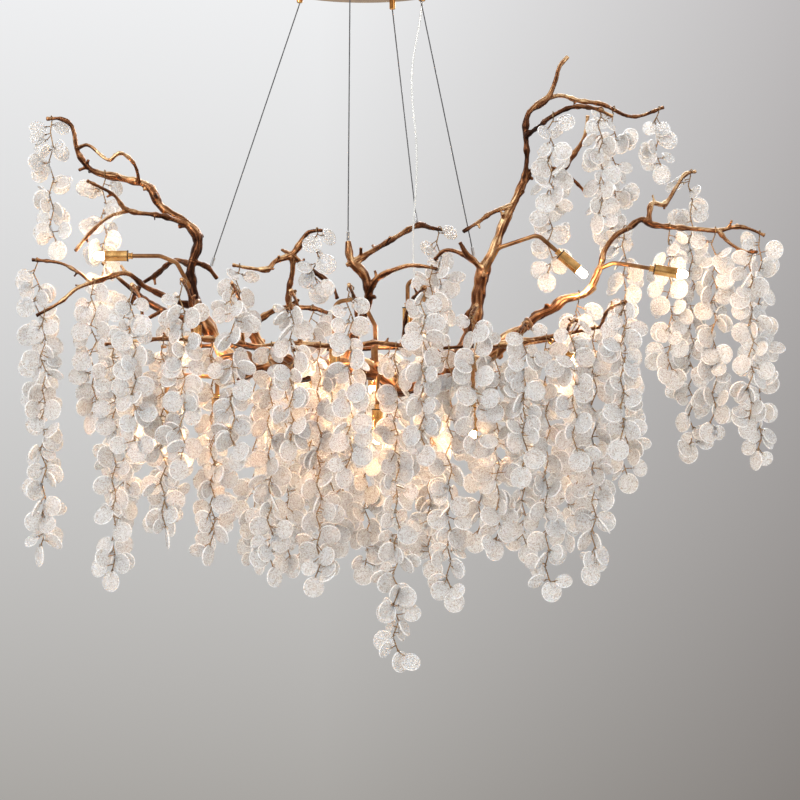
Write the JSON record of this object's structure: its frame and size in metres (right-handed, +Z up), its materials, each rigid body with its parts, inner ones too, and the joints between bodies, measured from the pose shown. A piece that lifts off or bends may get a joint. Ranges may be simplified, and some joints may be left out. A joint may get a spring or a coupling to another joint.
{
  "type": "chandelier",
  "caption": "Branch-shaped brass chandelier with hanging garlands of glass discs and small sleeve lamps, hung by wire ropes from a round ceiling canopy.",
  "frame": {"origin": "centre of the ceiling bracket's top face, midway between its two screw holes", "axes": "+Z up into the ceiling, +X to the viewer's right along the chandelier's length, +Y away from the viewer"},
  "size_m": [1.2308, 0.4018, 1.109],
  "materials": {
    "patina_brass": "brown patina, rubbed on the ridges",
    "polished_brass": "polished",
    "hammered_glass": "clear, hammered",
    "lit_bulb": "frosted, lit",
    "steel_rope": "stranded",
    "ferrule_steel": "satin",
    "bracket_steel": "zinc plated",
    "clear_cord": "clear",
    "terminal_plastic": "matte",
    "holder_plastic": "matte"
  },
  "bodies": {
    "frame": {"back_boughs": "patina_brass", "canopy": "polished_brass", "canopy_nuts": "polished_brass", "ceiling_bracket": "bracket_steel", "cord_grip": "polished_brass", "cord_inlet": "polished_brass", "far_right_twig": "patina_brass", "front_boughs": "patina_brass", "garlands_back": "hammered_glass", "garlands_crown": "hammered_glass", "garlands_left": "hammered_glass", "garlands_middle": "hammered_glass", "garlands_right": "hammered_glass", "lamp_arms": "patina_brass", "lamp_sleeves": "polished_brass", "lampholders": "holder_plastic", "left_crown": "patina_brass", "left_sprays": "patina_brass", "mid_left_bough": "patina_brass", "middle_bough": "patina_brass", "power_cord": "clear_cord", "right_bough": "patina_brass", "right_crown": "patina_brass", "right_trunk": "patina_brass", "rope_back": "steel_rope", "rope_ferrules": "ferrule_steel", "rope_front": "steel_rope", "rope_grips": "polished_brass", "rope_left": "steel_rope", "rope_right": "steel_rope", "terminal_block": "terminal_plastic", "trunk": "patina_brass"},
    "garland_left_long": {"garland_left_long": "hammered_glass"},
    "garland_left_outer": {"garland_left_outer": "hammered_glass"},
    "garland_left_crown": {"garland_left_crown": "hammered_glass"},
    "garland_front_1": {"garland_front_1": "hammered_glass"},
    "garland_front_2": {"garland_front_2": "hammered_glass"},
    "garland_front_3": {"garland_front_3": "hammered_glass"},
    "garland_front_4": {"garland_front_4": "hammered_glass"},
    "garland_front_5": {"garland_front_5": "hammered_glass"},
    "garland_front_long": {"garland_front_long": "hammered_glass"},
    "garland_front_6": {"garland_front_6": "hammered_glass"},
    "garland_front_7": {"garland_front_7": "hammered_glass"},
    "garland_front_8": {"garland_front_8": "hammered_glass"},
    "garland_front_9": {"garland_front_9": "hammered_glass"},
    "garland_right_tip": {"garland_right_tip": "hammered_glass"},
    "garland_right_sprig": {"garland_right_sprig": "hammered_glass"},
    "garland_crown_tip": {"garland_crown_tip": "hammered_glass"},
    "bulb_left_crown": {"bulb_left_crown": "lit_bulb"},
    "bulb_left_foot": {"bulb_left_foot": "lit_bulb"},
    "bulb_left_front": {"bulb_left_front": "lit_bulb"},
    "bulb_left_low": {"bulb_left_low": "lit_bulb"},
    "bulb_middle_left": {"bulb_middle_left": "lit_bulb"},
    "bulb_middle_back": {"bulb_middle_back": "lit_bulb"},
    "bulb_middle_front": {"bulb_middle_front": "lit_bulb"},
    "bulb_middle_right": {"bulb_middle_right": "lit_bulb"},
    "bulb_right_front": {"bulb_right_front": "lit_bulb"},
    "bulb_right_high": {"bulb_right_high": "lit_bulb"},
    "bulb_far_right": {"bulb_far_right": "lit_bulb"},
    "bulb_right_low": {"bulb_right_low": "lit_bulb"}
  },
  "joints": [
    {"name": "garland_left_long_swing", "type": "hinge", "parent": "frame", "child": "garland_left_long", "pos_m": [-0.5, -0.08942, -0.54905], "axis": [0.9915, 0.1305, 0], "range_deg": [-5, 5]},
    {"name": "garland_left_outer_swing", "type": "hinge", "parent": "frame", "child": "garland_left_outer", "pos_m": [-0.52, -0.01404, -0.4653], "axis": [0.9567, -0.2912, 0], "range_deg": [-5, 5]},
    {"name": "garland_left_crown_swing", "type": "hinge", "parent": "frame", "child": "garland_left_crown", "pos_m": [-0.506, 0.05485, -0.23239], "axis": [0.9934, -0.1146, 0], "range_deg": [-5, 5]},
    {"name": "garland_front_1_swing", "type": "hinge", "parent": "frame", "child": "garland_front_1", "pos_m": [-0.385, -0.13569, -0.6005], "axis": [0.9937, -0.1118, 0], "range_deg": [-5, 5]},
    {"name": "garland_front_2_swing", "type": "hinge", "parent": "frame", "child": "garland_front_2", "pos_m": [-0.308, -0.14285, -0.594], "axis": [0.9999, 0.0125, 0], "range_deg": [-5, 5]},
    {"name": "garland_front_3_swing", "type": "hinge", "parent": "frame", "child": "garland_front_3", "pos_m": [-0.231, -0.13894, -0.59526], "axis": [0.9468, 0.3219, 0], "range_deg": [-5, 5]},
    {"name": "garland_front_4_swing", "type": "hinge", "parent": "frame", "child": "garland_front_4", "pos_m": [-0.142, -0.15, -0.60278], "axis": [1, 0, 0], "range_deg": [-5, 5]},
    {"name": "garland_front_5_swing", "type": "hinge", "parent": "frame", "child": "garland_front_5", "pos_m": [-0.066, -0.14472, -0.60352], "axis": [0.9929, 0.1191, 0], "range_deg": [-5, 5]},
    {"name": "garland_front_long_swing", "type": "hinge", "parent": "frame", "child": "garland_front_long", "pos_m": [0.052, -0.15017, -0.60348], "axis": [0.9916, -0.1293, 0], "range_deg": [-5, 5]},
    {"name": "garland_front_6_swing", "type": "hinge", "parent": "frame", "child": "garland_front_6", "pos_m": [0.134, -0.138, -0.60713], "axis": [1, 0, 0], "range_deg": [-5, 5]},
    {"name": "garland_front_7_swing", "type": "hinge", "parent": "frame", "child": "garland_front_7", "pos_m": [0.209, -0.13461, -0.6023], "axis": [0.9962, 0.0866, 0], "range_deg": [-5, 5]},
    {"name": "garland_front_8_swing", "type": "hinge", "parent": "frame", "child": "garland_front_8", "pos_m": [0.285, -0.13773, -0.59081], "axis": [0.9985, -0.054, 0], "range_deg": [-5, 5]},
    {"name": "garland_front_9_swing", "type": "hinge", "parent": "frame", "child": "garland_front_9", "pos_m": [0.36, -0.12263, -0.57634], "axis": [0.9767, 0.2144, 0], "range_deg": [-5, 5]},
    {"name": "garland_right_tip_swing", "type": "hinge", "parent": "frame", "child": "garland_right_tip", "pos_m": [0.642, 0.06069, -0.41762], "axis": [0.9993, 0.0384, 0], "range_deg": [-5, 5]},
    {"name": "garland_right_sprig_swing", "type": "hinge", "parent": "frame", "child": "garland_right_sprig", "pos_m": [0.538, 0.12844, -0.31322], "axis": [0.9138, 0.4061, 0], "range_deg": [-5, 5]},
    {"name": "garland_crown_tip_swing", "type": "hinge", "parent": "frame", "child": "garland_crown_tip", "pos_m": [0.484, 0.11818, -0.20908], "axis": [0.9948, 0.102, 0], "range_deg": [-5, 5]},
    {"name": "bulb_left_crown_pull", "type": "slide", "parent": "frame", "child": "bulb_left_crown", "axis": [-1, 0, 0], "range_m": [0, 0.012]},
    {"name": "bulb_left_foot_pull", "type": "slide", "parent": "frame", "child": "bulb_left_foot", "axis": [0, 0, -1], "range_m": [0, 0.012]},
    {"name": "bulb_left_front_pull", "type": "slide", "parent": "frame", "child": "bulb_left_front", "axis": [0, 0, -1], "range_m": [0, 0.012]},
    {"name": "bulb_left_low_pull", "type": "slide", "parent": "frame", "child": "bulb_left_low", "axis": [0, 0, -1], "range_m": [0, 0.012]},
    {"name": "bulb_middle_left_pull", "type": "slide", "parent": "frame", "child": "bulb_middle_left", "axis": [0, 0, -1], "range_m": [0, 0.012]},
    {"name": "bulb_middle_back_pull", "type": "slide", "parent": "frame", "child": "bulb_middle_back", "axis": [0, 0, -1], "range_m": [0, 0.012]},
    {"name": "bulb_middle_front_pull", "type": "slide", "parent": "frame", "child": "bulb_middle_front", "axis": [0, 0, -1], "range_m": [0, 0.012]},
    {"name": "bulb_middle_right_pull", "type": "slide", "parent": "frame", "child": "bulb_middle_right", "axis": [0, 0, -1], "range_m": [0, 0.012]},
    {"name": "bulb_right_front_pull", "type": "slide", "parent": "frame", "child": "bulb_right_front", "axis": [0, 0, -1], "range_m": [0, 0.012]},
    {"name": "bulb_right_high_pull", "type": "slide", "parent": "frame", "child": "bulb_right_high", "axis": [0.7547, 0, -0.6561], "range_m": [0, 0.012]},
    {"name": "bulb_far_right_pull", "type": "slide", "parent": "frame", "child": "bulb_far_right", "axis": [0.9848, 0, -0.1736], "range_m": [0, 0.012]},
    {"name": "bulb_right_low_pull", "type": "slide", "parent": "frame", "child": "bulb_right_low", "axis": [0.8387, 0, -0.5446], "range_m": [0, 0.012]}
  ]
}
